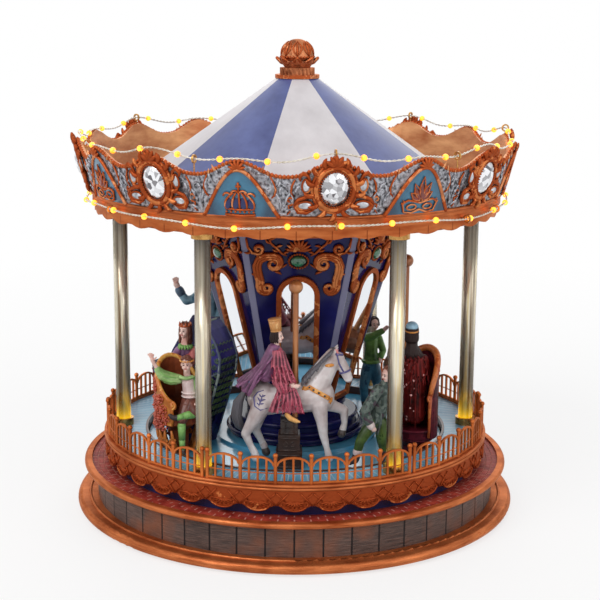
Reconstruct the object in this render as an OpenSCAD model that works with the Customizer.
// Carousel music box: a lit, motor-driven turntable of riders under a jewelled canopy.
// Millimetres, +Z up. The origin is the centre of the underside, the front faces -Y.
// Angles are counted from the front, and grow towards +X.

/* [Base] */
// Radius of the plinth at its rounded edge
plinth_r = 120; // [114:1:130]
// Height of the plinth above the feet's contact plane
plinth_top = 6; // [5:0.5:9]
// Clearance under the plinth that the rubber feet hold
plinth_lift = 1; // [0.5:0.25:2]
// How far the planked wall stands in from the plinth's edge
plank_inset = 11; // [9:0.5:12.5]
// Height of the planked wall
plank_h = 16.5; // [14:0.5:24]
// Thickness of the planked wall
plank_t = 3.5; // [3:0.5:5]
// Number of planks round the wall
plank_count = 48; // [36:1:60]
// Thickness of the underside plate
base_plate_t = 2.5; // [2:0.25:4]
// Radius of a rubber foot
foot_r = 6; // [4:0.5:8]
// Thickness of a rubber foot
foot_t = 2; // [1.5:0.25:3]
// Number of feet, and of the screws between them
foot_count = 6; // [4:1:8]
// Radius of the screws that hold the underside plate
base_screw_r = 1; // [0.75:0.25:1.25]

/* [Walkway] */
// How far the copper lip stands in from the plinth's edge
lip_inset = 4; // [2:0.5:5]
// Height of the lip's half-round edge
lip_h = 3; // [2.5:0.25:4]
// Width of the copper lip outside the bricks
lip_w = 4; // [3:0.5:5]
// Thickness of the brick plate
walk_t = 1.5; // [1.25:0.25:2.5]
// Thickness of the lip's flange under the bricks
lip_flange_t = 0.5; // [0.5:0.25:1]

/* [Deck] */
// Width of the brick walkway round the drum
walk_w = 12.5; // [11.5:0.25:13]
// Wall thickness of the drum
drum_t = 2.5; // [2:0.25:4]
// Height of the drum
drum_h = 13.5; // [12:0.5:18]
// Thickness of the deck
deck_t = 2.5; // [2:0.25:3.5]
// How far the deck stands out over the drum
deck_over = 2.5; // [2:0.25:3]
// Width of the beaded moulding round the deck
moulding_w = 3; // [2.5:0.25:4.5]
// Height of that moulding
moulding_h = 3.3; // [3:0.1:5]
// How far the scalloped skirt stands out over the deck's edge
skirt_over = 2; // [1.75:0.25:2.5]
// Thickness of the skirt
skirt_t = 1.6; // [1.2:0.2:1.6]
// Height of the skirt down to the scallop tips
skirt_h = 10.1; // [7:0.1:11]
// Depth of the notches between scallops
skirt_notch = 3.1; // [1:0.1:4]
// Number of scallops on the skirt
skirt_scallops = 36; // [24:1:48]
// Thickness of the kerb round the turntable recess
kerb_t = 1.3; // [1:0.1:1.6]
// How far the kerb stands above the deck
kerb_rise = 0.7; // [0.3:0.1:1.5]

/* [Turntable] */
// Width of the deck and kerb outside the turntable
table_inset = 21.5; // [21.5:0.25:22.5]
// Thickness of the turntable
table_t = 2.5; // [2:0.25:3.5]
// Depth of the turntable's top below the deck
table_drop = 3.5; // [3:0.25:4.5]
// Gap between the turntable and the kerb
table_gap = 0.7; // [0.5:0.1:1.2]
// How far the raised middle step stays inside the ring of riders
step_inset = 17; // [16:0.5:20]
// Height of the raised middle step
step_h = 1.5; // [1:0.25:2.5]
// Outer radius of the turntable's hub
hub_r = 17; // [15:0.5:20]
// Radius of the centre post that the hub turns on
post_r = 12; // [10:0.5:13]
// Running clearance between post and hub
post_fit = 0.05; // [0.02:0.01:0.09]
// Gap under the hub and under the column's foot
thrust_gap = 0.4; // [0.3:0.05:0.8]
// Thickness of the post's thrust flange
flange_t = 4; // [3:0.5:6]

/* [Drive] */
// Tooth module of the ring gear and pinion
gear_m = 1.5; // [1.25:0.05:1.6]
// Teeth on the ring gear
ring_teeth = 80; // [76:1:82]
// Teeth on the motor pinion
pinion_teeth = 10; // [9:1:12]
// Face width of the ring gear
gear_w = 4; // [3:0.25:4.5]
// Radius of the motor shaft
shaft_r = 1.5; // [1.2:0.1:2]
// Running clearance round the motor shaft
shaft_fit = 0.05; // [0.02:0.01:0.09]
// Radius of the gearmotor
motor_r = 12; // [10:0.5:13]
// Height of the gearmotor
motor_h = 18; // [14:0.5:19]

/* [Electronics] */
// Radius of the loudspeaker
speaker_r = 25; // [20:1:28]
// Depth of the loudspeaker
speaker_h = 13; // [10:0.5:16]
// Length of the music board
board_l = 56; // [45:1:60]
// Width of the music board
board_w = 26; // [20:1:28]
// Radius of the power inlet's body
inlet_r = 4; // [3.5:0.25:5]
// Radius of the power inlet's socket
socket_r = 2.75; // [2.5:0.05:3]
// Length of the power inlet
inlet_l = 12; // [10:0.5:14]
// Width of the power switch's slider
slider_w = 4.4; // [3.6:0.2:5]
// Travel of the power switch's slider
slider_travel = 3; // [2:0.25:4]
// Radius of the volume knob
knob_r = 5; // [4:0.25:6]
// Thickness of the volume knob
knob_t = 4; // [3:0.25:5]

/* [Fence] */
// How far the fence line stands out over the deck's edge
fence_over = 0.8; // [0.4:0.1:1.2]
// Height of a fence post with its ball
fence_h = 15.5; // [12:0.5:20]
// Radius of a fence post
fence_post_r = 0.9; // [0.7:0.05:1]
// Radius of a post's ball
fence_ball_r = 1.3; // [1.1:0.05:1.6]
// Width of the fence's bars
fence_bar = 1; // [0.7:0.05:1.2]
// Number of fence panels
fence_panels_n = 6; // [4:1:8]
// Arches in one panel
panel_arches = 6; // [4:1:8]
// Balusters under one arch
arch_bars = 3; // [2:1:4]

/* [Pillars] */
// Number of clear pillars
pillar_count = 6; // [4:1:8]
// How far the pillars stand in from the deck's edge
pillar_inset = 7.2; // [6.6:0.1:9]
// Outer radius of a pillar tube
pillar_r = 4; // [3.25:0.25:4.5]
// Wall thickness of a pillar tube
pillar_wall = 1.2; // [0.8:0.1:1.5]
// Height from the deck to the ceiling
pillar_h = 122.5; // [118:0.5:140]
// Radius of the brass tie rod inside each pillar
rod_r = 1.5; // [1:0.1:1.8]
// Height of the collar at each end of a pillar
collar_h = 4; // [3:0.5:6]
// Clearance round a pillar in its collar and a rod in its hole
pillar_fit = 0.1; // [0.05:0.05:0.2]

/* [Column] */
// Number of faces on the column
column_faces = 6; // [6:1:6]
// Radius of the column's lower corners as a share of the ring of riders
column_foot_share = 0.466; // [0.42:0.002:0.5]
// Radius of the column's upper corners as a share of the ring of riders
column_head_share = 0.979; // [0.9:0.001:1.02]
// Width of the flat cut on each corner of the column
corner_flat = 3; // [2:0.25:4]
// Radius of the column's round foot as a share of the ring of riders
foot_ring_share = 0.613; // [0.58:0.001:0.63]
// Height of the column's round foot
foot_ring_h = 18; // [16:0.5:22]
// Width of a column mirror as a share of the column's foot face
mirror_share = 0.588; // [0.45:0.002:0.62]
// Room along a column face between its mirror's frame and the ceiling
mirror_head_room = 30.7; // [24:0.1:42]
// Thickness of a column mirror
mirror_t = 0.8; // [0.5:0.1:1.2]
// Width of the strip that frames a mirror
mirror_frame_w = 2.7; // [1.5:0.1:3.5]
// Depth of the mirror frame
mirror_frame_t = 1.8; // [1.4:0.1:3]
// Depth of the carved scrolls on the column
scroll_t = 1.8; // [1:0.1:3]
// Height of a side scroll
scroll_h = 22; // [18:0.5:24]

/* [Canopy] */
// Thickness of the ceiling panel
ceiling_t = 2; // [1.5:0.25:4]
// How far the valance stands out over the deck's edge
valance_over = 5.4; // [4.8:0.2:6.4]
// Thickness of the valance
valance_t = 1.6; // [1.2:0.1:2]
// Height of the valance down to its scallop tips
valance_h = 5.4; // [4:0.2:8]
// Depth of the notches between the valance's scallops
valance_notch = 1.9; // [0.8:0.1:2.6]
// Number of scallops on the valance
valance_scallops = 40; // [30:1:50]
// How far the plain band stands out over the valance
band_over = 1.1; // [0.6:0.1:2.1]
// Height of that band
band_h = 4.7; // [3.5:0.1:7]
// How far the cornice leans out over the band at its peaks
cornice_over = 7.5; // [4.5:0.25:9.5]
// Height of the cornice at its dips
cornice_h = 20.6; // [18:0.2:24]
// How far the cornice's peaks stand above its dips
cornice_wave = 7; // [3:0.25:9]
// Wall thickness of the cornice
cornice_t = 2.4; // [1.8:0.1:3]
// Number of jewelled medallions
medallion_count = 8; // [8:1:8]
// Half width of a jewel
gem_rx = 6.8; // [5:0.1:7.5]
// Half height of a jewel
gem_ry = 8.4; // [7:0.1:9]
// Depth of a jewel
gem_t = 3.6; // [2:0.1:5]
// Width of the carved frame round a jewel
medallion_w = 3.4; // [2:0.1:4]
// Depth of the carved frame
medallion_t = 2.6; // [1.5:0.1:4]
// Half width of an arched emblem field
emblem_w = 17.5; // [14:0.25:18.5]
// Height of an arched emblem field
emblem_h = 22; // [18:0.25:23]
// Thickness of the emblem field's inlay
emblem_t = 0.8; // [0.5:0.1:1.2]
// Height of the raised crowns and masks over the inlay
relief_t = 1.1; // [0.8:0.1:2]

/* [Roof] */
// Number of gores in the roof
gore_count = 8; // [8:2:8]
// How far the roof stands in from the valance's face
roof_inset = 3.8; // [3.4:0.2:6.4]
// Radius of the flat at the top of the roof
roof_top_r = 11; // [9:0.25:11.5]
// Rise of the roof from the ceiling to that flat
roof_h = 65.7; // [55:0.5:75]
// Thickness of the roof's skin, measured level
roof_t = 2.8; // [2:0.1:4]

/* [Finial] */
// Radius of the finial's disc and of its petal tips
finial_r = 11.7; // [11:0.1:12.5]
// Thickness of the finial's disc
finial_disc_t = 1.8; // [1.4:0.1:3]
// Radius of the ribbed collar
finial_collar_r = 9.2; // [8:0.1:9.6]
// Height of the ribbed collar
finial_collar_h = 3.6; // [2.5:0.1:5]
// Number of petals on the cup
petal_count = 8; // [6:1:12]
// Height of the petal cup
cup_h = 5.2; // [4:0.1:7]
// Radius of the egg
egg_r = 8.5; // [7:0.1:9]
// Height of the egg above its widest ring
egg_rise = 9.3; // [7:0.1:11]

/* [Fairy lights] */
// Radius of the twisted light wire
wire_r = 0.5; // [0.4:0.05:0.6]
// Radius of a light bead
bulb_r = 1.5; // [1.3:0.1:2]
// Bulbs on the upper strand
upper_bulb_n = 32; // [20:1:40]
// Bulbs on the lower strand
lower_bulb_n = 28; // [20:1:36]
// Inner radius of a screw eye
eye_r = 1.3; // [1:0.1:1.8]
// Radius of a screw eye's wire
eye_wire_r = 0.4; // [0.3:0.05:0.5]

/* [Figures] */
// How far the ring of riders stands in from the turntable's edge
ride_inset = 18.5; // [17.5:0.5:20.5]
// Radius of a horse pole
pole_r = 1.5; // [1.2:0.1:2]
// Height of a horse pole's ball above the turntable
pole_h = 93.8; // [85:0.5:105]
// Radius of a pole's ball
pole_ball_r = 3.6; // [3:0.1:4.5]
// Width of a horse stand at its foot
stand_foot_w = 13; // [10:0.5:16]
// Width of a horse stand under the horse
stand_neck_w = 8.5; // [7:0.5:10]
// Height at which a horse stand meets its horse
stand_h = 26; // [24:0.5:28]

/* [Hidden] */
$fn = 72;
turn = 360;
half = turn / 2;
quarter = turn / 4;
eps = 0.01;
over = 1;

// Heights, from the feet upwards
z_plate = plinth_top - 2 - base_plate_t;
z_shelf = z_plate + base_plate_t;
z_wall = plinth_top + plank_h;
z_walk = z_wall + lip_flange_t + walk_t;
z_drum = z_walk + drum_h;
z_deck = z_drum + deck_t;
z_moulding = z_deck + 1;
z_table = z_deck - table_drop;
z_step = z_table + step_h;
z_foot = z_step + thrust_gap;
z_column = z_foot + foot_ring_h;
z_ceiling = z_deck + pillar_h;
z_canopy = z_ceiling + ceiling_t;
z_valance = z_ceiling + valance_h - 0.7;
z_band = z_valance + band_h;
z_dip = z_band + cornice_h;
z_peak = z_dip + cornice_wave;
z_roof = z_canopy + roof_h;
z_collar = z_roof + finial_disc_t;
z_cup = z_collar + finial_collar_h;
z_egg = z_cup + cup_h * 0.45;

// Radii that follow others, from the plinth inwards and up to the canopy
plank_r = plinth_r - plank_inset;
lip_r = plinth_r - lip_inset;
walk_r = lip_r - lip_w;
drum_r = walk_r - walk_w;
deck_r = drum_r + deck_over;
moulding_r = deck_r + moulding_w;
skirt_r = deck_r + skirt_over;
fence_r = deck_r + fence_over;
pillar_ring_r = deck_r - pillar_inset;
table_r = deck_r - table_inset;
ride_r = table_r - ride_inset;
step_r = ride_r - step_inset;
foot_ring_r = ride_r * foot_ring_share;
column_foot_r = ride_r * column_foot_share;
column_head_r = ride_r * column_head_share;
mirror_w = column_foot_r * mirror_share;
valance_r = deck_r + valance_over;
band_r = valance_r + band_over;
cornice_r = band_r + cornice_over;
roof_r = valance_r - roof_inset;
wall_in = plank_r - plank_t;
recess_r = table_r + table_gap;
kerb_out = recess_r + kerb_t;
skirt_in = skirt_r - skirt_t;
valance_in = valance_r - valance_t;
ring_gear_r = gear_m * ring_teeth / 2;
pinion_r = gear_m * pinion_teeth / 2;
backlash = 0.25;
gear_reach = ring_gear_r + pinion_r + backlash;
first_pillar = 31.5;
first_face = 1.5;
first_medallion = 8.9;
pillar_step = turn / pillar_count;
face_step = turn / column_faces;
medallion_step = turn / medallion_count;

// Angles of the controls on the back, and of the drive
inlet_a = 180;
switch_a = 163;
knob_a = 198;
motor_a = 140;
control_z = plinth_top + plank_h / 2;

// Hand-placed screw eyes of the two light strands
upper_eyes = [8.9, 42.65, 98.9, 143.9, 188.9, 233.9, 290.15, 335.15];
lower_eyes = [9.4, 48, 64, 110, 147, 196, 248, 305];

// The figures are drawn for a ring of riders of this radius, and scale with the real one
drawn_ride_r = 62;
rider_scale = ride_r / drawn_ride_r;

// Places of the figures on the turntable, and the seats they share
page_a = -53.5;
page_place = ride_r + 8.4;
chair_spot_xy = [-4.4, 1.4, 0];
chair_turn = 32.5;
chair_wall = 1.6;
chair_arm = 30;
chair_sweep = 265;
chair_curve = 1.4;
chair_seat = 22;
chair_foot = 5;
chair_r = 12;
chair_back = 50;
sleigh_a = -70.1;
back_sleigh_a = 180;
sleigh_place = ride_r - 4.6;
sleigh_turn = quarter - 53;
sleigh_w = 15;
bench_h = 24;
waver_a = -118.9;
waver_place = ride_r - 5;
stroller_a = 134;
stroller_place = ride_r - 1;
porter_a = 34;
porter_place = ride_r + 9;
throne_a = 60;
throne_place = ride_r + 9;
throne_spot = [2.2, 1, 0];
throne_turn = -42;
throne_wall = 1.8;
throne_arm = 32;
throne_sweep = 200;
throne_curve = 0.7;
throne_r = 12;
throne_foot = throne_r - 4.6;
throne_seat = 13;
throne_back = 54;
brown_a = 100;

// ---------- shared shapes ----------

module at(a, r, z) {
  rotate([0, 0, a]) translate([0, -r, z]) children();
}

// A plain ring from one height to another
module ring(r_in, r_out, z0, z1) {
  rotate_extrude() translate([r_in, z0]) square([r_out - r_in, z1 - z0]);
}

// Points of an ellipse
function ellipse(rx, ry, n) = [for (i = [0:n - 1]) [rx * cos(i * turn / n), ry * sin(i * turn / n)]];

// Points of an upright arch: straight jambs and a round head, from the bottom
function arch(w, h, n = 12) = concat([[-w / 2, 0]],
  [for (i = [n:-1:0]) [w / 2 * cos(i * half / n), h - w / 2 + w / 2 * sin(i * half / n)]],
  [[w / 2, 0]]);

// Places a shape on a leaning face: x level, y up the face, z outwards
module lean(a, r, z, tilt) {
  at(a, r, z) rotate([quarter + tilt, 0, 0]) children();
}

// Scalloped ring: plain ring whose lower edge has pointed notches
module scallops(r_in, r_out, z0, z1, count, depth) {
  pitch = 2 * r_out * sin(half / count);
  reach = 0.44 * pitch;
  notch = concat([[-reach, -over]],
    [for (i = [-3:3]) let (u = reach * i / 3) [u, depth * (1 - abs(sin(half * u / pitch)))]],
    [[reach, -over]]);
  difference() {
    ring(r_in, r_out, z0, z1);
    for (i = [0:count - 1])
      at((i + 0.5) * turn / count, r_out + over, z0)
        rotate([-quarter, 0, 0]) mirror([0, 1, 0])
          linear_extrude(r_out - r_in + 2 * over) polygon(notch);
  }
}

// ---------- base ----------

module plinth() {
  nose_r = (plinth_top - plinth_lift) / 2;
  bead_r = 0.8;
  shelf_r = walk_r;
  color("sienna") difference() {
    union() {
      ring(wall_in, plinth_r - nose_r, plinth_lift, plinth_top);
      rotate_extrude() translate([plinth_r - nose_r, plinth_lift + nose_r]) circle(nose_r);
      rotate_extrude() translate([(plank_r + plinth_r - nose_r) / 2, plinth_top]) circle(bead_r);
    }
    ring(wall_in - over, shelf_r, -over, z_shelf);
    screw_holes(z_shelf - over, plinth_top + over);
  }
}

// Clearance holes for the base screws
module screw_holes(z0, z1) {
  for (i = [0:foot_count - 1])
    at((i + 0.5) * turn / foot_count, plank_r - plank_t / 2, z0)
      cylinder(r = base_screw_r + pillar_fit, h = z1 - z0);
}

module base_plate() {
  grille_slots = 5;
  slot_pitch = 6;
  color("dimgray") difference() {
    translate([0, 0, z_plate]) cylinder(r = walk_r - 0.3, h = base_plate_t);
    screw_holes(z_plate - over, z_shelf + over);
    for (i = [0:foot_count - 1]) {
      at((i + 0.5) * turn / foot_count, plank_r - plank_t / 2, z_plate - over)
        cylinder(r = 2 * base_screw_r + pillar_fit, h = over + 1.2);
      at(i * turn / foot_count, plank_r - 2 * foot_r, z_plate - over)
        cylinder(r = foot_r + pillar_fit, h = over + foot_t - z_plate);
    }
    for (i = [0:grille_slots - 1])
      translate([-speaker_r * 0.7, -speaker_y - slot_pitch * (i - (grille_slots - 1) / 2) - 1,
        z_plate - over])
        cube([speaker_r * 1.4, 2, base_plate_t + 2 * over]);
  }
}

module rubber_feet() {
  color("black")
    for (i = [0:foot_count - 1])
      at(i * turn / foot_count, plank_r - 2 * foot_r, 0) cylinder(r = foot_r, h = foot_t);
}

module base_screws() {
  head_t = 1.2;
  color("silver")
    for (i = [0:foot_count - 1])
      at((i + 0.5) * turn / foot_count, plank_r - plank_t / 2, z_plate) difference() {
        union() {
          cylinder(r = 2 * base_screw_r, h = head_t);
          cylinder(r = base_screw_r, h = plinth_top + 7 - z_plate);
        }
        translate([-base_screw_r, -0.2, -over]) cube([2 * base_screw_r, 0.4, over + 0.5]);
      }
}

module plank_wall() {
  groove = 0.5;
  plank_a = turn / plank_count;
  edge = 0.35;
  outline = [for (i = [0:plank_count - 1], s = [0:2])
    let (a = (i + [edge / 8, 1 - edge / 8, 1][s]) * plank_a, r = s == 2 ? plank_r - groove : plank_r)
    [r * sin(a), -r * cos(a)]];
  color("dimgray") difference() {
    translate([0, 0, plinth_top]) linear_extrude(plank_h) difference() {
      polygon(outline);
      circle(wall_in, $fn = 180);
    }
    screw_holes(plinth_top - over, plinth_top + 8);
    at(inlet_a, plank_r + over, control_z) rotate([-quarter, 0, 0])
      cylinder(r = inlet_r + pillar_fit, h = plank_t + 2 * over);
    at(knob_a, plank_r + over, control_z) rotate([-quarter, 0, 0])
      cylinder(r = shaft_r + shaft_fit, h = plank_t + 2 * over);
    at(switch_a, plank_r + over, control_z) rotate([-quarter, 0, 0])
      translate([-slider_w / 2 - 0.4, -slider_w / 2 - 0.4, 0])
        cube([slider_w + slider_travel + 0.8, slider_w + 0.8, plank_t + 2 * over]);
  }
}

module walkway_lip() {
  color("peru") {
    ring(wall_in + 0.5, walk_r, z_wall, z_wall + lip_flange_t);
    rotate_extrude() union() {
      translate([walk_r, z_wall + lip_flange_t / 2]) square([lip_r - walk_r - lip_h / 2, lip_h]);
      translate([lip_r - lip_h / 2, z_wall + lip_flange_t / 2 + lip_h / 2]) circle(lip_h / 2);
    }
  }
}

module brick_walkway() {
  joint = 0.25;
  courses = 4;
  course = (walk_r - drum_r) / courses;
  color("firebrick") difference() {
    ring(drum_r - drum_t, walk_r, z_wall + lip_flange_t, z_walk);
    for (i = [1:courses - 1])
      ring(drum_r + i * course - joint, drum_r + i * course + joint, z_walk - joint, z_walk + over);
  }
}

module drum_wall() {
  color("midnightblue") ring(drum_r - drum_t, drum_r, z_walk, z_drum);
}

// ---------- deck ----------

module deck_moulding() {
  bead_r = moulding_h / 4;
  z0 = z_moulding - moulding_h;
  color("peru") rotate_extrude() union() {
    translate([deck_r, z0]) square([moulding_r - bead_r - deck_r, moulding_h]);
    for (i = [0:1]) translate([moulding_r - bead_r, z0 + bead_r * (1 + 2 * i)]) circle(bead_r);
  }
}

module deck_skirt() {
  z1 = z_moulding - moulding_h;
  color("peru") scallops(skirt_in, skirt_r, z1 - skirt_h, z1, skirt_scallops, skirt_notch);
}

module deck() {
  color("skyblue") difference() {
    ring(kerb_out, deck_r, z_drum, z_deck);
    tie_holes(z_drum - over, z_deck + over);
  }
}

module deck_kerb() {
  color("saddlebrown") ring(recess_r, kerb_out, z_table - 3, z_deck + kerb_rise);
}

// Holes of the pillar tie rods
module tie_holes(z0, z1) {
  for (i = [0:pillar_count - 1])
    at(first_pillar + i * pillar_step, pillar_ring_r, z0) cylinder(r = rod_r + pillar_fit, h = z1 - z0);
}

// ---------- fence ----------

panel_a = turn / fence_panels_n;
joint_a = 0.8;
bay_a = (panel_a - 2 * joint_a) / panel_arches;
fence_first = -25.5;
spring_h = fence_h - 6.5;
arch_top_h = fence_h - 1.7;

// One arched bay of a fence panel, flat. Its arch ends inside the posts on either side.
module fence_bay() {
  w = 2 * fence_r * sin(bay_a / 2);
  span = w / 2 - fence_post_r / 4;
  rise = arch_top_h - spring_h;
  gap = w / (arch_bars + 1);
  rail_lift = 0.2;
  steps = 8;
  linear_extrude(fence_bar) union() {
    polygon(concat(
      [for (i = [0:steps]) [span * cos(i * half / steps), spring_h + rise * sin(i * half / steps)]],
      [for (i = [steps:-1:0])
        [(span - fence_bar) * cos(i * half / steps), spring_h + (rise - fence_bar) * sin(i * half / steps)]]));
    translate([-w / 2, rail_lift]) square([w, fence_bar]);
    for (i = [1:arch_bars]) let (x = -w / 2 + i * gap)
      translate([x - fence_bar / 2, rail_lift + fence_bar / 2])
        square([fence_bar, spring_h + rise * sqrt(1 - pow(x / span, 2)) - rail_lift - fence_bar]);
  }
}

module fence_post() {
  cylinder(r = fence_post_r, h = fence_h - fence_ball_r, $fn = 24);
  translate([0, 0, fence_h - fence_ball_r]) sphere(r = fence_ball_r, $fn = 24);
}

module fence_panels() {
  color("chocolate")
    for (p = [0:fence_panels_n - 1]) rotate([0, 0, fence_first + p * panel_a + joint_a]) union() {
      for (i = [0:panel_arches - 1])
        at((i + 0.5) * bay_a, fence_r * cos(bay_a / 2) - fence_bar / 2, z_moulding)
          rotate([quarter, 0, 0]) fence_bay();
      for (i = [0:panel_arches]) at(i * bay_a, fence_r, z_moulding) fence_post();
    }
}

// ---------- pillars ----------

module pillar_tubes() {
  color("khaki", 0.5)
    for (i = [0:pillar_count - 1]) at(first_pillar + i * pillar_step, pillar_ring_r, z_deck) difference() {
      cylinder(r = pillar_r, h = pillar_h, $fn = 48);
      translate([0, 0, -over]) cylinder(r = pillar_r - pillar_wall, h = pillar_h + 2 * over, $fn = 48);
    }
}

module pillar_tie_rods() {
  nut_r = rod_r + 0.5;
  nut_h = 2;
  color("gold")
    for (i = [0:pillar_count - 1]) at(first_pillar + i * pillar_step, pillar_ring_r, 0) {
      translate([0, 0, z_drum - nut_h]) cylinder(r = rod_r, h = z_canopy + nut_h * 2 - z_drum, $fn = 32);
      translate([0, 0, z_drum - nut_h]) cylinder(r = nut_r, h = nut_h, $fn = 6);
      translate([0, 0, z_canopy]) cylinder(r = nut_r, h = nut_h, $fn = 6);
    }
}

module pillar_collars() {
  flange = 1.4;
  color("goldenrod")
    for (i = [0:pillar_count - 1]) at(first_pillar + i * pillar_step, pillar_ring_r, 0) {
      rotate_extrude() translate([pillar_r + pillar_fit, z_deck]) square([flange, collar_h]);
      rotate_extrude() translate([pillar_r + pillar_fit, z_ceiling - collar_h]) square([flange, collar_h]);
    }
}

// ---------- column ----------

face_run = z_ceiling - z_column;
apothem_rate = (column_head_r - column_foot_r) * cos(face_step / 2) / face_run;
face_tilt = atan(apothem_rate);
function apothem(z) = column_foot_r * cos(face_step / 2) + apothem_rate * (z - z_column);

module centre_post() {
  spigot_r = post_r * 0.6;
  z_flange = z_hub - thrust_gap;
  color("gainsboro") difference() {
    union() {
      translate([0, 0, z_shelf]) cylinder(r = post_r, h = z_foot - z_shelf);
      translate([0, 0, z_flange - flange_t]) cylinder(r = hub_r + 1, h = flange_t);
      translate([0, 0, z_shelf]) cylinder(r = hub_r + 5, h = flange_t / 2);
      translate([0, 0, z_foot - eps]) cylinder(r = spigot_r, h = 6);
    }
    translate([0, 0, z_shelf - over]) cylinder(r = spigot_r - 2, h = z_foot - z_shelf + 8);
  }
}

module column_foot() {
  bead = 1.2;
  mid_r = (foot_ring_r + column_foot_r) / 2;
  tiers = [[foot_ring_r - bead, 0, 0.2], [foot_ring_r - 2 - bead, 0.2, 0.36], [mid_r, 0.36, 0.62],
    [column_foot_r - 1 - bead, 0.62, 1]];
  color("navy") difference() {
    rotate_extrude() union() {
      for (t = tiers) translate([0, z_foot + t[1] * foot_ring_h])
        square([t[0], (t[2] - t[1]) * foot_ring_h]);
      for (t = tiers) translate([t[0], z_foot + t[2] * foot_ring_h - bead]) circle(bead);
    }
    translate([0, 0, z_foot - over]) cylinder(r = post_r * 0.6 + pillar_fit, h = over + 6 + pillar_fit);
  }
}

// Corners of the column's section: a polygon with each corner cut flat
function column_section(r, z) = [for (i = [0:column_faces - 1], s = [-1, 1])
  let (a = first_face + (i + 0.5) * face_step, cut = corner_flat / 2,
    x = s * cut, y = r - cut * tan(face_step / 2))
  [y * sin(a) + x * cos(a), -y * cos(a) + x * sin(a), z]];

module column_body() {
  n = 2 * column_faces;
  points = concat(column_section(column_foot_r, z_column), column_section(column_head_r, z_ceiling));
  sides = [for (i = [0:n - 1]) let (j = (i + 1) % n) [i, i + n, j + n, j]];
  color("navy")
    polyhedron(points, concat(sides, [[for (i = [0:n - 1]) i], [for (i = [n - 1:-1:0]) i + n]]));
}

mirror_foot = 2.5;
mirror_gap = 0.05;
face_len = face_run / cos(face_tilt);
mirror_h = face_len - mirror_foot - 2 * mirror_frame_w - mirror_head_room;

// Places a shape on each face of the column, y measured up the face from its foot
module on_faces(lift = mirror_gap) {
  for (i = [0:column_faces - 1])
    lean(first_face + i * face_step, apothem(z_column), z_column, face_tilt)
      translate([0, 0, lift]) children();
}

module column_mirrors() {
  color("white") on_faces() translate([0, mirror_foot + mirror_frame_w])
    linear_extrude(mirror_t) polygon(arch(mirror_w - 2 * pillar_fit, mirror_h));
}

module mirror_frames() {
  color("peru") on_faces() translate([0, mirror_foot]) linear_extrude(mirror_frame_t) difference() {
    polygon(arch(mirror_w + 2 * mirror_frame_w, mirror_h + 2 * mirror_frame_w));
    translate([0, mirror_frame_w]) polygon(arch(mirror_w, mirror_h));
  }
}

// An S-shaped ribbon, widest in its middle, as points up one side and down the other
function sway(t) = [2.6 * sin(turn * t), scroll_h * (t - 0.06 * sin(turn * t))];
function sway_width(t) = 1.2 + 1.6 * pow(sin(half * t), 2);
function ribbon(n) = concat(
  [for (i = [0:n]) let (t = i / n) sway(t) - [sway_width(t) / 2, 0]],
  [for (i = [n:-1:0]) let (t = i / n) sway(t) + [sway_width(t) / 2, 0]]);

// A hooked volute: an open ring with a small eye
module volute(r) {
  difference() {
    circle(r, $fn = 20);
    translate([0.25 * r, -0.2 * r]) circle(r * 0.55, $fn = 12);
  }
}

module column_scrolls() {
  top_y = mirror_foot + mirror_h + 2 * mirror_frame_w;
  scroll_x = mirror_w / 2 + mirror_frame_w + 4.3;
  inner = (scroll_x - 4.5) / 2;
  leaf_w = 9;
  color("peru") on_faces() union() {
    for (s = [0, 1]) mirror([s, 0, 0]) translate([scroll_x, top_y - 8]) {
      linear_extrude(scroll_t) union() {
        polygon(ribbon(12));
        translate([-2, 0]) volute(2.5);
        translate([2, scroll_h]) volute(3.2);
        translate([0.5 - inner, scroll_h * 0.62]) polygon(ellipse(inner + 0.5, 1.4, 14));
      }
    }
    translate([0, top_y + 14]) linear_extrude(scroll_t) polygon(concat([[0, 0]],
      [for (i = [0:8]) let (a = 20 + i * 17.5, r = i % 2 == 0 ? leaf_w : leaf_w * 0.8)
        [r * cos(a), r * 0.8 * sin(a)]]));
  }
}

module column_cabochons() {
  gem = [3.2, 2.3];
  bezel = [5.4, 4.1];
  y = mirror_foot + mirror_h + 2 * mirror_frame_w + 8.5;
  color("green") on_faces() translate([0, y]) {
    linear_extrude(1.2) polygon(ellipse(bezel[0], bezel[1], 20));
    translate([0, 0, 1.2]) linear_extrude(1.2, scale = 0.5) polygon(ellipse(gem[0], gem[1], 16));
  }
}

// ---------- canopy ----------

module ceiling_panel() {
  color("peru") difference() {
    translate([0, 0, z_ceiling]) cylinder(r = valance_in, h = ceiling_t, $fn = 128);
    tie_holes(z_ceiling - over, z_canopy + over);
  }
}

module valance() {
  color("peru")
    scallops(valance_in, valance_r, z_valance - valance_h, z_valance, valance_scallops, valance_notch);
}

module canopy_band() {
  color("peru") ring(valance_in, band_r, z_valance, z_band);
}

cornice_rate = (cornice_r - band_r) / (cornice_h + cornice_wave);
cornice_tilt = atan(cornice_rate);
waves = 2 * medallion_count;
function cornice_out(z) = band_r + cornice_rate * (z - z_band);
function crest(a) = z_dip + cornice_wave * pow(0.5 + 0.5 * cos(waves * (a - first_medallion)), 1.3);
function on_ring(a, r, z) = [r * sin(a), -r * cos(a), z];

module cornice() {
  n = 128;
  k = 4;
  points = [for (i = [0:n - 1]) let (a = i * turn / n, z = crest(a))
    for (p = [[cornice_out(z_band), z_band], [cornice_out(z), z], [cornice_out(z) - cornice_t, z],
      [cornice_out(z_band) - cornice_t, z_band]])
    on_ring(a, p[0], p[1])];
  faces = [for (i = [0:n - 1], j = [0:k - 1]) let (m = (i + 1) % n, q = (j + 1) % k)
    each [[i * k + j, i * k + q, m * k + q], [i * k + j, m * k + q, m * k + j]]];
  color("peru") polyhedron(points, faces);
}

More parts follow.
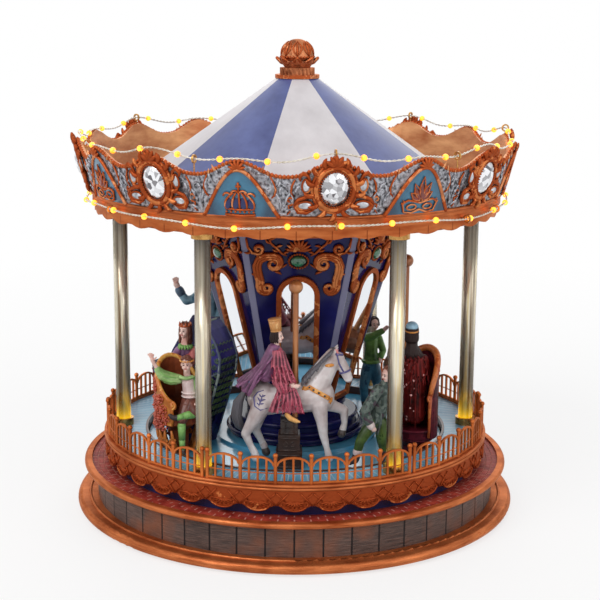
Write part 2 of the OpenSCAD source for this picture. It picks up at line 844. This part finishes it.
// Places a shape on the cornice at each medallion
medallion_z = z_band + 15;
module on_medallions() {
  for (i = [0:medallion_count - 1])
    lean(first_medallion + i * medallion_step, cornice_out(medallion_z), medallion_z, cornice_tilt)
      translate([0, 0, mirror_gap]) children();
}

module medallion_frames() {
  wing = 4.2;
  color("sienna") on_medallions() difference() {
    union() {
      linear_extrude(medallion_t) polygon(ellipse(gem_rx + medallion_w, gem_ry + medallion_w, 32));
      for (s = [-1, 1]) translate([s * (gem_rx + medallion_w), -gem_ry * 0.8])
        linear_extrude(medallion_t * 0.7) polygon(ellipse(wing, wing * 0.7, 16));
      translate([0, gem_ry + medallion_w * 0.6])
        linear_extrude(medallion_t * 0.8) polygon(ellipse(gem_rx * 0.7, medallion_w * 0.9, 16));
    }
    translate([0, 0, -over])
      linear_extrude(medallion_t + 2 * over) polygon(ellipse(gem_rx + 0.1, gem_ry + 0.1, 32));
  }
}

module medallion_jewels() {
  facets = 12;
  girdle = gem_t * 0.4;
  color("white") on_medallions() {
    linear_extrude(girdle) polygon(ellipse(gem_rx, gem_ry, facets));
    translate([0, 0, girdle]) linear_extrude(gem_t - girdle, scale = 0.5)
      polygon(ellipse(gem_rx, gem_ry, facets));
  }
}

// Skin that lies on the cornice between two offsets
module cornice_skin(lift, t) {
  z0 = z_band + 0.3;
  z1 = z_peak;
  rotate_extrude($fn = 128) polygon([[cornice_out(z0) + lift, z0], [cornice_out(z0) + lift + t, z0],
    [cornice_out(z1) + lift + t, z1], [cornice_out(z1) + lift, z1]]);
}

// Outline of an emblem field: a full round head on an ogee foot
function bell(w, h, n) = concat([[-w, 0]],
  [for (i = [-n + 1:n - 1]) [w * i / n, h * pow(0.5 + 0.5 * cos(half * i / n), 0.55)]],
  [[w, 0]]);

module radial_prism(a) {
  at(a, cornice_r + 6, z_band + 0.5) rotate([-quarter, 0, 0]) mirror([0, 1, 0])
    linear_extrude(24) children();
}

emblem_first = first_medallion + medallion_step / 2;

module emblem_fields() {
  color("teal") for (i = [0:medallion_count - 1]) intersection() {
    cornice_skin(mirror_gap, emblem_t);
    radial_prism(emblem_first + i * medallion_step) polygon(bell(emblem_w, emblem_h, 10));
  }
}

module crown_outline() {
  polygon([[-7, 2], [7, 2], [9, 12], [5.5, 9], [3.5, 14], [0, 10.5], [-3.5, 14], [-5.5, 9], [-9, 12]]);
}

module mask_outline() {
  eye = [2.6, 1.5];
  difference() {
    union() {
      for (s = [-1, 1]) translate([s * 5, 4.5]) polygon(ellipse(6, 3.4, 16));
      for (a = [-50, -25, 0, 25, 50]) rotate(a) translate([0, 10]) polygon(ellipse(1.6, 6.5, 10));
    }
    for (s = [-1, 1]) translate([s * 5.4, 4.6]) polygon(ellipse(eye[0], eye[1], 12));
  }
}

module emblem_reliefs() {
  border = 1.8;
  color("peru") for (i = [0:medallion_count - 1]) let (a = emblem_first + i * medallion_step) {
    intersection() {
      cornice_skin(mirror_gap + emblem_t, relief_t);
      radial_prism(a) union() {
        if (i % 2 == 1) crown_outline();
        if (i % 2 == 0) mask_outline();
      }
    }
    intersection() {
      cornice_skin(mirror_gap, relief_t);
      radial_prism(a) difference() {
        polygon(bell(emblem_w + border + 0.1, emblem_h + border + 0.1, 10));
        translate([0, -0.1]) polygon(bell(emblem_w + 0.1, emblem_h + 0.1, 10));
      }
    }
  }
}

// ---------- roof and finial ----------

module gores(first) {
  step_a = turn / gore_count;
  for (i = [0:2:gore_count - 1]) rotate([0, 0, -quarter + first_medallion + (first + i - 0.5) * step_a])
    rotate_extrude(angle = step_a) polygon([[roof_r, z_canopy], [roof_top_r, z_roof],
      [roof_top_r - roof_t, z_roof], [roof_r - roof_t, z_canopy]]);
}

module roof_white_gores() {
  color("white") gores(0);
}

module roof_blue_gores() {
  color("slateblue") gores(1);
}

module finial_base() {
  spigot_r = roof_top_r - roof_t - 0.2;
  ribs = 24;
  color("chocolate") union() {
    translate([0, 0, z_roof]) cylinder(r = finial_r, h = finial_disc_t);
    translate([0, 0, z_roof - 5]) cylinder(r = spigot_r, h = 5 + eps);
    translate([0, 0, z_collar - eps]) linear_extrude(finial_collar_h + eps)
      polygon([for (i = [0:2 * ribs - 1]) let (r = finial_collar_r - (i % 2) * 0.6, a = i * half / ribs)
        [r * cos(a), r * sin(a)]]);
  }
}

// Half outline of the egg, grown all round by a clearance
function egg_outline(grow) = let (widest = z_egg + 3.2, steps = 14) concat(
  [[0, z_egg - grow], [egg_r * 0.66 + grow, z_egg - grow]],
  [for (i = [0:steps]) let (t = i * quarter / steps)
    [i == steps ? 0 : (egg_r + grow) * pow(cos(t), 0.9), widest + (egg_rise + grow) * sin(t)]]);

module finial_cup() {
  waist_r = finial_collar_r * 0.72;
  petal_h = cup_h * 0.95;
  tip_r = 0.9;
  color("chocolate") difference() {
    union() {
      translate([0, 0, z_cup]) cylinder(r1 = waist_r, r2 = egg_r + 0.8, h = cup_h * 0.7, $fn = 32);
      for (i = [0:petal_count - 1]) at(i * turn / petal_count, 0, z_cup) hull() {
        translate([0, -waist_r * 0.6, 1]) sphere(r = 1, $fn = 6);
        translate([0, -egg_r, petal_h * 0.6]) scale([2.6, 1, 1]) sphere(r = 1.2, $fn = 6);
        translate([0, -finial_r + tip_r, petal_h]) sphere(r = tip_r, $fn = 6);
      }
    }
    rotate_extrude($fn = 32) polygon(egg_outline(2 * pillar_fit));
  }
}

module finial_egg() {
  color("chocolate") rotate_extrude() polygon(egg_outline(0));
}

// ---------- fairy lights ----------

lower_wire_z = z_valance + 1.4;
lower_wire_r = band_r + 3.2;
function upper_z(a) = z_peak + wire_r + 0.2 + 1.4 * cos(waves / 2 * (a - first_medallion))
  + 1.3 * cos(waves * (a - first_medallion));
function upper_r(a) = cornice_out(crest(a)) - cornice_t / 2;
function lower_z(a) = lower_wire_z + 0.9 * sin(5 * a) + 0.5 * cos(11 * a);
function upper_at(a) = on_ring(a, upper_r(a), upper_z(a));
function lower_at(a) = on_ring(a, lower_wire_r, lower_z(a));

// A closed ring of wire through points that a rule gives
module wire(path) {
  n = len(path);
  k = 6;
  points = [for (i = [0:n - 1]) let (a = i * turn / n, c = path[i], out = [sin(a), -cos(a), 0])
    for (j = [0:k - 1]) let (b = j * turn / k) c + wire_r * (cos(b) * out + [0, 0, sin(b)])];
  faces = [for (i = [0:n - 1], j = [0:k - 1]) let (m = (i + 1) % n, q = (j + 1) % k)
    each [[i * k + j, m * k + j, m * k + q], [i * k + j, m * k + q, i * k + q]]];
  polyhedron(points, faces);
}

wire_steps = 96;
module upper_light_wire() {
  color("gainsboro") wire([for (i = [0:wire_steps - 1]) upper_at(i * turn / wire_steps)]);
}

module lower_light_wire() {
  color("gainsboro") wire([for (i = [0:wire_steps - 1]) lower_at(i * turn / wire_steps)]);
}

// A bead of clear resin with the wire running through it
module bulb(slope) {
  rotate([0, slope, 0]) difference() {
    sphere(r = bulb_r, $fn = 24);
    rotate([0, quarter, 0])
      cylinder(r = wire_r + 0.25, h = 2 * bulb_r + over, center = true, $fn = 16);
  }
}

module light_bulbs() {
  probe = 1;
  upper_first = 4.5;
  lower_first = -2.1;
  color("gold") {
    for (i = [0:upper_bulb_n - 1]) let (a = upper_first + i * turn / upper_bulb_n)
      at(a, upper_r(a), upper_z(a))
        bulb(-atan((upper_z(a + probe) - upper_z(a - probe)) * half / PI / 2 / probe / upper_r(a)));
    for (i = [0:lower_bulb_n - 1]) let (a = lower_first + i * turn / lower_bulb_n)
      at(a, lower_wire_r, lower_z(a))
        bulb(-atan((lower_z(a + probe) - lower_z(a - probe)) * half / PI / 2 / probe / lower_wire_r));
  }
}

// A screw eye: a loop whose hole lies along the wire, on a stem that runs down
module screw_eye(stem) {
  stem_r = 0.85 * eye_wire_r;
  rotate([0, quarter, 0]) difference() {
    union() {
      cylinder(r = eye_r + 2 * eye_wire_r, h = 2 * eye_wire_r, center = true, $fn = 32);
      rotate([0, quarter, 0]) cylinder(r = stem_r, h = eye_r + eye_wire_r + stem, $fn = 16);
    }
    cylinder(r = eye_r, h = 2 * stem_r + over, center = true, $fn = 32);
  }
}

module screw_eyes() {
  seat = 0.1;
  color("darkgoldenrod") {
    for (a = upper_eyes) at(a, upper_r(a), upper_z(a))
      screw_eye(upper_z(a) - crest(a) - eye_r - eye_wire_r - seat);
    for (a = lower_eyes) at(a, lower_wire_r, lower_z(a)) rotate([quarter, 0, 0])
      screw_eye(lower_wire_r - band_r - eye_r - eye_wire_r - seat);
  }
}

// ---------- turntable and drive ----------

z_under = z_table - table_t;
hub_h = 6.2;
z_hub = z_under - hub_h;

module turntable() {
  color("deepskyblue") difference() {
    union() {
      translate([0, 0, z_under]) cylinder(r = table_r, h = table_t, $fn = 128);
      translate([0, 0, z_table - eps]) cylinder(r = step_r, h = step_h + eps, $fn = 128);
      translate([0, 0, z_hub]) cylinder(r = hub_r, h = hub_h + eps);
    }
    translate([0, 0, z_hub - over]) cylinder(r = post_r + post_fit, h = z_step - z_hub + 2 * over);
  }
}

// Straight-flanked teeth, thinner than half the pitch so that they run free
module gear_outline(teeth, inner) {
  r = gear_m * teeth / 2;
  tooth = turn / teeth;
  outline = [for (i = [0:teeth - 1], s = [0:3])
    let (a = (i + [-0.3, -0.13, 0.13, 0.3][s]) * tooth,
      q = s == 0 || s == 3 ? r - 1.1 * gear_m : r + 0.75 * gear_m)
    [q * sin(a), -q * cos(a)]];
  difference() {
    polygon(outline);
    circle(inner);
  }
}

module ring_gear() {
  web = 5;
  color("ivory") translate([0, 0, z_under - gear_w]) linear_extrude(gear_w)
    gear_outline(ring_teeth, ring_gear_r - 1.1 * gear_m - web);
}

pinion_z = z_under - gear_w + 0.4;
module drive_pinion() {
  stub = 8;
  color("goldenrod") at(motor_a, gear_reach, 0) union() {
    translate([0, 0, pinion_z]) linear_extrude(gear_w - 0.8)
      rotate(half / pinion_teeth + mesh_shift) gear_outline(pinion_teeth, 0.001);
    translate([0, 0, z_shelf + motor_h - stub])
      cylinder(r = shaft_r, h = pinion_z - z_shelf - motor_h + stub + eps);
  }
}

// Turns the pinion so that a tooth meets a gap of the ring gear
ring_phase = motor_a / (turn / ring_teeth) - floor(motor_a / (turn / ring_teeth));
mesh_shift = half + ring_phase * turn / pinion_teeth;

module gearmotor() {
  ear = 4;
  color("silver") at(motor_a, gear_reach, 0) difference() {
    union() {
      translate([0, 0, z_shelf]) cylinder(r = motor_r, h = motor_h);
      translate([-motor_r - ear, -3, z_shelf]) cube([2 * (motor_r + ear), 6, 2]);
    }
    translate([0, 0, z_shelf + motor_h - 8 - 0.3]) cylinder(r = shaft_r + shaft_fit, h = 9, $fn = 32);
  }
}

// ---------- electronics ----------

speaker_y = 62;
module loudspeaker() {
  basket_t = 2;
  magnet_r = speaker_r * 0.55;
  color("darkslategray") translate([0, -speaker_y, z_shelf]) union() {
    cylinder(r = speaker_r, h = basket_t);
    translate([0, 0, basket_t - eps])
      cylinder(r1 = speaker_r * 0.9, r2 = magnet_r * 0.9, h = speaker_h * 0.5);
    translate([0, 0, speaker_h * 0.6]) cylinder(r = magnet_r, h = speaker_h * 0.4);
  }
}

board_x = -60;
module music_board() {
  post_h = 4;
  board_t = 1.6;
  color("darkgreen") translate([board_x - board_w / 2, -board_l / 2, z_shelf]) union() {
    translate([0, 0, post_h]) cube([board_w, board_l, board_t]);
    for (x = [3, board_w - 3], y = [3, board_l - 3]) translate([x, y, 0])
      cylinder(r = 2, h = post_h + eps, $fn = 24);
    translate([board_w * 0.3, board_l * 0.4, post_h + board_t - eps]) cube([8, 8, 1.6]);
    translate([board_w * 0.3, board_l * 0.7, post_h + board_t - eps]) cylinder(r = 3, h = 8, $fn = 24);
    translate([2, board_l * 0.1, post_h + board_t - eps]) cube([board_w - 8, 5, 5]);
  }
}

module power_inlet() {
  pin_r = 0.75;
  rim = 1.6;
  depth = inlet_l - 3;
  color("black") at(inlet_a, plank_r + 1.2, control_z) rotate([-quarter, 0, 0]) {
    difference() {
      union() {
        cylinder(r = inlet_r, h = inlet_l);
        cylinder(r = inlet_r + rim, h = 1.1);
      }
      translate([0, 0, -over]) cylinder(r = socket_r, h = depth + over);
    }
    translate([0, 0, 2]) cylinder(r = pin_r, h = depth, $fn = 24);
  }
}

module power_switch() {
  nub = 2.4;
  flange_w = slider_w + 4;
  color("black") at(switch_a, plank_r + nub, control_z) rotate([-quarter, 0, 0]) union() {
    translate([-slider_w / 2, -slider_w / 2, 0]) cube([slider_w, slider_w, nub + plank_t + 0.8]);
    translate([-flange_w / 2, -flange_w / 2, nub + plank_t + 0.6]) cube([flange_w, flange_w, 1.4]);
  }
}

module volume_knob() {
  stand_off = 0.8;
  grips = 20;
  color("black") at(knob_a, plank_r + stand_off + knob_t, control_z) rotate([-quarter, 0, 0]) union() {
    linear_extrude(knob_t) polygon([for (i = [0:2 * grips - 1])
      let (r = knob_r - (i % 2) * 0.35, a = i * half / grips)
      [r * cos(a), r * sin(a)]]);
    translate([0, 0, knob_t - eps]) cylinder(r = shaft_r, h = stand_off + plank_t + 4);
    translate([0, 0, knob_t + stand_off + plank_t + 0.4]) cylinder(r = shaft_r + 2, h = 2);
  }
}

// ---------- figures ----------

// Chain of rounded limbs through points with a radius: [x, y, z, r]
module limb(p) {
  for (i = [0:len(p) - 2]) hull() for (q = [p[i], p[i + 1]])
    translate([q[0], q[1], q[2]]) sphere(r = q[3], $fn = q[3] > 3.5 ? 10 : q[3] > 2.8 ? 8 : 6);
}

// Places a figure on the turntable at an angle and radius, turned by its heading
module stand(a, r, heading) {
  translate([r * sin(a), -r * cos(a), z_table + 0.05]) rotate([0, 0, heading]) scale(rider_scale) children();
}

// A horse's barrel, and the thigh on its outer side
horse_back = [[-15, 0, 35, 8.2], [-5, 0, 36, 7.8], [6, 0, 36.5, 8.2], [12, 0, 37.5, 7.6]];
horse_thigh = [[-17, -4.5, 33, 5.2], [-25, -5, 18.6, 2.3]];

// A prancing horse, facing +X, its feet clear of the table
module horse_shape() {
  limb(horse_back);
  limb([[11, 0, 41, 6.4], [16.5, 0, 51, 4.6], [19.5, 0, 57, 3.9]]);
  limb([[20, 0, 57.5, 4], [24.5, 0, 52.5, 3], [27, 0, 46.8, 2.3]]);
  for (s = [-1, 1]) limb([[18.5, s * 2, 59.5, 1.4], [21.5, s * 2.3, 63.4, 0.6]]);
  limb([[7, 0, 47, 1.8], [13, 0, 57, 1.8], [18, 0, 62, 1.3]]);
  limb([[-22, 0, 40, 1.8], [-29, 0, 34, 2.8], [-29.5, 0, 26, 2.4], [-27, 0, 18.5, 0.7]]);
  limb([[12, -4, 33, 4.4], [14.4, -4.5, 18, 2.1], [17.3, -4.5, 6.4, 2.1]]);
  limb([[15, 4, 33, 4.2], [25, 4, 28.4, 2.3], [24.6, 4, 16.6, 2.1]]);
  limb(concat(horse_thigh, [[-20.4, -5, 7.6, 2.1]]));
  limb([[-16, 4.5, 33, 5.2], [-20, 5, 18, 2.3], [-15.4, 5, 7, 2.1]]);
}

// Room for the pole and the stand inside a horse
module horse_hollow() {
  translate([0, 0, stand_h - over]) cylinder(r = pole_r + 0.1, h = pole_h, $fn = 32);
  translate([-stand_neck_w / 2 - 3.1, -stand_neck_w / 2 - 0.1, 0])
    cube([stand_neck_w + 0.2, stand_neck_w + 0.2, stand_h + 0.1]);
}

module horses() {
  color("white") stand(0, ride_r, 0) difference() {
    horse_shape();
    horse_hollow();
  }
  color("saddlebrown") stand(brown_a, ride_r, brown_a) difference() {
    horse_shape();
    horse_hollow();
  }
}

module stand_and_pole() {
  tiers = 3;
  translate([0, 0, stand_h]) cylinder(r = pole_r, h = pole_h - stand_h, $fn = 24);
  translate([0, 0, pole_h]) sphere(r = pole_ball_r, $fn = 32);
  for (i = [0:tiers - 1]) let (w = stand_foot_w + (stand_neck_w - stand_foot_w) * i / (tiers - 1),
    z = i * stand_h / tiers)
    translate([-w / 2 - 3, -w / 2, z]) cube([w, w, stand_h / tiers + (i < tiers - 1 ? 0.5 : 0)]);
}

module horse_poles() {
  color("saddlebrown") {
    stand(0, ride_r, 0) stand_and_pole();
    stand(brown_a, ride_r, brown_a) stand_and_pole();
  }
}

// A person: hips, chest and head as points, then arms and legs as chains
module person(hips, chest, head, arms, legs) {
  limb([[hips[0], hips[1], hips[2], 4.4], [chest[0], chest[1], chest[2], 4.2]]);
  limb([[chest[0], chest[1], chest[2] + 2.6, 2], [head[0], head[1], head[2], 1.8]]);
  translate(head) scale([1, 1, 1.2]) sphere(r = 3.3, $fn = 12);
  for (arm = arms) limb(arm);
  for (leg = legs) limb(leg);
}

// Side-saddle rider with a crown and a long cloak
module horse_rider() {
  lap = -7;
  color("mediumvioletred") stand(0, ride_r, 0) difference() {
    union() {
      person([lap, -5, 47], [-9, -3, 59.4], [-9.3, -3, 69.4],
        [[[-12, -6, 60.4, 2.2], [-7, -9, 50, 2], [-2, -5, 47, 1.6]], [[-6, 0, 60.4, 2.2], [-3, 2, 51, 1.6]]],
        [[[-6, -8.6, 45, 3.4], [0, -10.4, 38, 3], [-2, -10.6, 29, 2], [1, -11, 24.5, 1.4]]]);
      limb([[-11, -2, 61.4, 3.4], [-16, -4, 52, 4.6], [-22, -5, 48, 4], [-28, -4, 45, 2]]);
      limb([[-7, -8.4, 44, 4.2], [-4, -11, 34, 5]]);
      translate([-9.6, -3, 72.4]) cylinder(r1 = 2.6, r2 = 3.4, h = 6.6, $fn = 16);
    }
    saddle_room();
  }
}

// The horse's back with a little room round it, for the rider to sit on
module saddle_room() {
  gap = 0.3;
  limb([for (p = horse_back) p + [0, 0, 0, gap]]);
  limb([for (p = horse_thigh) p + [0, 0, 0, gap]]);
  cylinder(r = pole_r + gap, h = pole_h, $fn = 16);
}

// Page in a short tunic, perched on the chair with one leg crossed and one arm raised
module page() {
  color("yellowgreen") stand(page_a, page_place, 0) difference() {
    person([1.5, -1, chair_seat + 4.6], [1, -1.5, 37], [0, -1, 48.4],
      [[[-4, -1, 40, 2.2], [-12, -2, 41, 2], [-16.6, -2, 49.5, 1.3]],
       [[5, -1, 39, 2.2], [8, -4, 31, 1.8], [5, -7, 28, 1.4]]],
      [[[-1, -3, 26, 3], [-2.2, -9.6, 18.5, 2.3], [-2, -9.2, 4, 1.6], [-1.6, -10.4, 1.8, 1.5]],
       [[4, -3, 26.4, 3], [4, -8.4, 24.6, 2.4], [-5, -10.6, 22, 1.5]]]);
    chair_spot() tub_room(chair_r, chair_foot, chair_wall, chair_seat, 9, chair_back, chair_arm,
      chair_sweep, chair_curve);
  }
}

module chair_spot() {
  translate(chair_spot_xy) rotate([0, 0, chair_turn]) children();
}

// The space a tub seat fills, with a little room round it
module tub_room(r, foot, wall, seat_z, seat_t, back_h, arm_h, sweep, curve) {
  room = 0.3;
  rotate_extrude($fn = 32) polygon([[0, 0], [foot + room, 0], [foot + room, seat_z - seat_t],
    [r - wall + room, seat_z - seat_t / 2 - room], [r - wall + room, seat_z + room / 2], [0, seat_z + room / 2]]);
  tub_back(r + room, wall + 2 * room, seat_z - seat_t / 2 - room, back_h + room, arm_h + room, sweep + 6, curve);
}

// A tub seat's back: a curved wall, high behind and sloping down to its arms
module tub_back(r, wall, z0, back_h, arm_h, sweep, curve) {
  n = 16;
  points = [for (i = [0:n]) let (a = half + sweep * (i / n - 0.5),
      z = arm_h + (back_h - arm_h) * pow(sin(half * i / n), curve))
    for (p = [[r, z0], [r, z], [r - wall, z], [r - wall, z0]]) on_ring(a, p[0], p[1])];
  sides = [for (i = [0:n - 1], j = [0:3]) let (q = (j + 1) % 4)
    each [[i * 4 + j, i * 4 + q, (i + 1) * 4 + q], [i * 4 + j, (i + 1) * 4 + q, (i + 1) * 4 + j]]];
  polyhedron(points, concat(sides, [[3, 2, 1, 0], [for (j = [0:3]) n * 4 + j]]));
}

// A tub seat: a round cushion on a pedestal, with its back round it
module tub_seat(r, foot, seat_z, seat_t, back_h, arm_h, wall, sweep, curve) {
  color("darkorange") {
    rotate_extrude($fn = 48) polygon([[0, 0], [foot, 0], [foot, seat_z - seat_t],
      [r - wall + 0.2, seat_z - seat_t / 2 - 0.1], [r - wall + 0.2, seat_z], [0, seat_z]]);
    tub_back(r, wall, seat_z - seat_t / 2, back_h, arm_h, sweep, curve);
  }
}

module rose_chair() {
  stand(page_a, page_place, 0) chair_spot()
    tub_seat(chair_r, chair_foot, chair_seat, 9, chair_back, chair_arm, chair_wall, chair_sweep, chair_curve);
}

// A carriage like a sleigh, facing -X: a tall curled back, a bench, a rolled dash, a low
// side panel and a high one
module sleigh() {
  panel = 1.4;
  back = [[8.5, 0], [13.5, 16], [18, 30], [21.5, 42], [22.2, 50], [19.4, 57.5], [15, 64], [11, 68]];
  dash = [[-23, 40.4], [-22.6, 36.4], [-19.6, 34.4], [-18.8, 26], [-16, 13], [-12, 0]];
  body = concat(back, [[8.4, 66], [10.8, 59], [12.8, 51], [12.6, 41], [11, 32], [9, bench_h], [-12, bench_h],
    [-15, 28], [-16.6, 34], [-16, 39.6], [-17.2, 43], [-20.6, 43.4]], dash);
  low_side = [[8.5, 0], [13.5, 16], [18, 30], [21.5, 42], [14, 38], [6, 32], [-4, 30], [-12, 32], [-18.8, 26],
    [-16, 13], [-12, 0]];
  high_side = concat(back, [[-6, 67], [-20, 46]], dash);
  rotate([quarter, 0, 0]) union() {
    translate([0, 0, -sleigh_w / 2]) linear_extrude(sleigh_w) polygon(body);
    translate([0, 0, sleigh_w / 2 - panel]) linear_extrude(panel) polygon(low_side);
    translate([0, 0, -sleigh_w / 2]) linear_extrude(panel) polygon(high_side);
  }
}

module sleighs() {
  color("navy") {
    stand(sleigh_a, sleigh_place, sleigh_turn + sleigh_a) sleigh();
    stand(back_sleigh_a, sleigh_place, sleigh_turn + back_sleigh_a) sleigh();
  }
}

module crowned_lady() {
  color("mediumpurple") stand(sleigh_a, sleigh_place, sleigh_turn + sleigh_a) union() {
    person([-5.5, -0.5, bench_h + 4.8], [-4.6, -0.8, 47], [-5.3, -1.6, 60.5],
      [[[-8.2, -3.3, 49.5, 2.2], [-12.2, -4.6, 43.5, 1.9], [-13.6, -4.8, 38.8, 1.4]],
       [[-1.4, 1, 49.5, 2.2], [0.2, -4.4, 43, 1.9], [-4.5, -5.8, 39, 1.4]]],
      [[[-6, -2.4, bench_h + 3.8, 3.2], [-10.4, -2.4, bench_h + 4, 3]],
       [[-6, 2.2, bench_h + 3.8, 3.2], [-10.4, 2.2, bench_h + 4, 3]]]);
    translate([-5, -1.6, 63.4]) cylinder(r1 = 2.6, r2 = 3.2, h = 3.8, $fn = 16);
  }
}

// A coachman who waves from a round tub
module waving_man() {
  tub_h = 16;
  color("steelblue") stand(waver_a, waver_place, 0) {
    person([0, 0, 50], [0, 0, 68], [0.6, 0, 80.5],
      [[[-4.6, -1, 71, 2.3], [-11.6, -3, 67, 2.1], [-16.6, -3, 75, 1.5]],
       [[4.6, 1, 71, 2.2], [6.6, 2, 61, 1.9], [5, -3, 54, 1.4]]],
      [[[-2.4, 0, 48, 3.2], [-2.8, -0.6, 33, 2.6], [-2.8, 0, tub_h + 1.7, 2]],
       [[2.4, 0, 48, 3.2], [2.8, -0.6, 33, 2.6], [2.8, 0, tub_h + 1.7, 2]]]);
    cylinder(r1 = 8, r2 = 6.4, h = tub_h, $fn = 32);
  }
}

// Two strollers: one swings an arm, the other strides and leans into a load
module strolling_men() {
  color("forestgreen") stand(stroller_a, stroller_place, 0)
    person([0, 0, 28], [0, 0, 40], [1.4, 0, 50.6],
      [[[-3.6, -1, 42.5, 2.2], [1.5, -5, 45, 2], [7.5, -5, 48.6, 1.5]],
       [[4, 1, 42, 2.2], [7, 2, 34, 1.8], [5, -1, 29, 1.4]]],
      [[[-2, 0, 26, 3.2], [-4, -2, 14, 2.4], [-3.4, -1, 1.8, 1.9]],
       [[2, 0, 26, 3.2], [4, 1, 14, 2.4], [5, 2, 1.8, 1.9]]]);
  color("darkslategray") stand(porter_a, porter_place, 0)
    person([2, 2, 24], [5.4, 1, 37.5], [7.4, -1, 48.2],
      [[[2.4, -3.4, 41, 2.6], [-4.4, -5, 29.4, 2.4], [0.4, -7, 20.6, 1.5]],
       [[8, 3, 41, 2.6], [9, 4, 31, 2.2], [3, 0, 25, 1.5]]],
      [[[0, -1, 23, 3.3], [-6, -2.6, 13.4, 2.5], [-8.8, -2.6, 1.9, 2]],
       [[4, 2, 23, 3.3], [5, 2, 12, 2.5], [7, 3, 1.9, 2]]]);
}

module throne() {
  stand(throne_a, throne_place, 0) throne_turned()
    tub_seat(throne_r, throne_foot, throne_seat, 9, throne_back, throne_arm, throne_wall,
      throne_sweep, throne_curve);
}

module throne_turned() {
  translate(throne_spot) rotate([0, 0, throne_turn]) children();
}

// A lady in a star-strewn robe, seated with her back to the outside
module seated_lady() {
  color("darkred") stand(throne_a, throne_place, 0) difference() {
    union() {
      person([0, 0, throne_seat + 5.6], [0, -0.6, 47], [-0.8, -0.6, 65.6],
        [[[-5, 0, 49, 2.6], [-6.6, 3, 38, 2.4], [-4, 7, 33, 1.5]],
         [[5, 0, 49, 2.6], [6.4, 3, 38, 2.4], [4, 7, 33, 1.5]]],
        [[[-2, 1, throne_seat + 4, 3.6], [-2.4, 6, throne_seat + 3.4, 3]]]);
      limb([[0.6, -1, 50.6, 6], [1.4, -1.6, throne_seat + 9, 8.2]]);
      limb([[-0.6, -2, 65, 2.8], [-0.4, -3.2, 53, 4.4]]);
    }
    throne_turned() tub_room(throne_r, throne_foot, throne_wall, throne_seat, 9, throne_back, throne_arm,
      throne_sweep, throne_curve);
  }
}

plinth();
base_plate();
rubber_feet();
base_screws();
plank_wall();
walkway_lip();
brick_walkway();
drum_wall();
deck_skirt();
deck_moulding();
deck();
deck_kerb();
fence_panels();
pillar_tubes();
pillar_tie_rods();
pillar_collars();
centre_post();
column_foot();
column_body();
mirror_frames();
column_mirrors();
column_scrolls();
column_cabochons();
ceiling_panel();
valance();
canopy_band();
cornice();
medallion_frames();
medallion_jewels();
emblem_fields();
emblem_reliefs();
roof_white_gores();
roof_blue_gores();
finial_base();
finial_cup();
finial_egg();
upper_light_wire();
lower_light_wire();
light_bulbs();
screw_eyes();
turntable();
ring_gear();
drive_pinion();
gearmotor();
loudspeaker();
music_board();
power_inlet();
power_switch();
volume_knob();
horses();
horse_poles();
horse_rider();
page();
rose_chair();
crowned_lady();
sleighs();
waving_man();
strolling_men();
throne();
seated_lady();
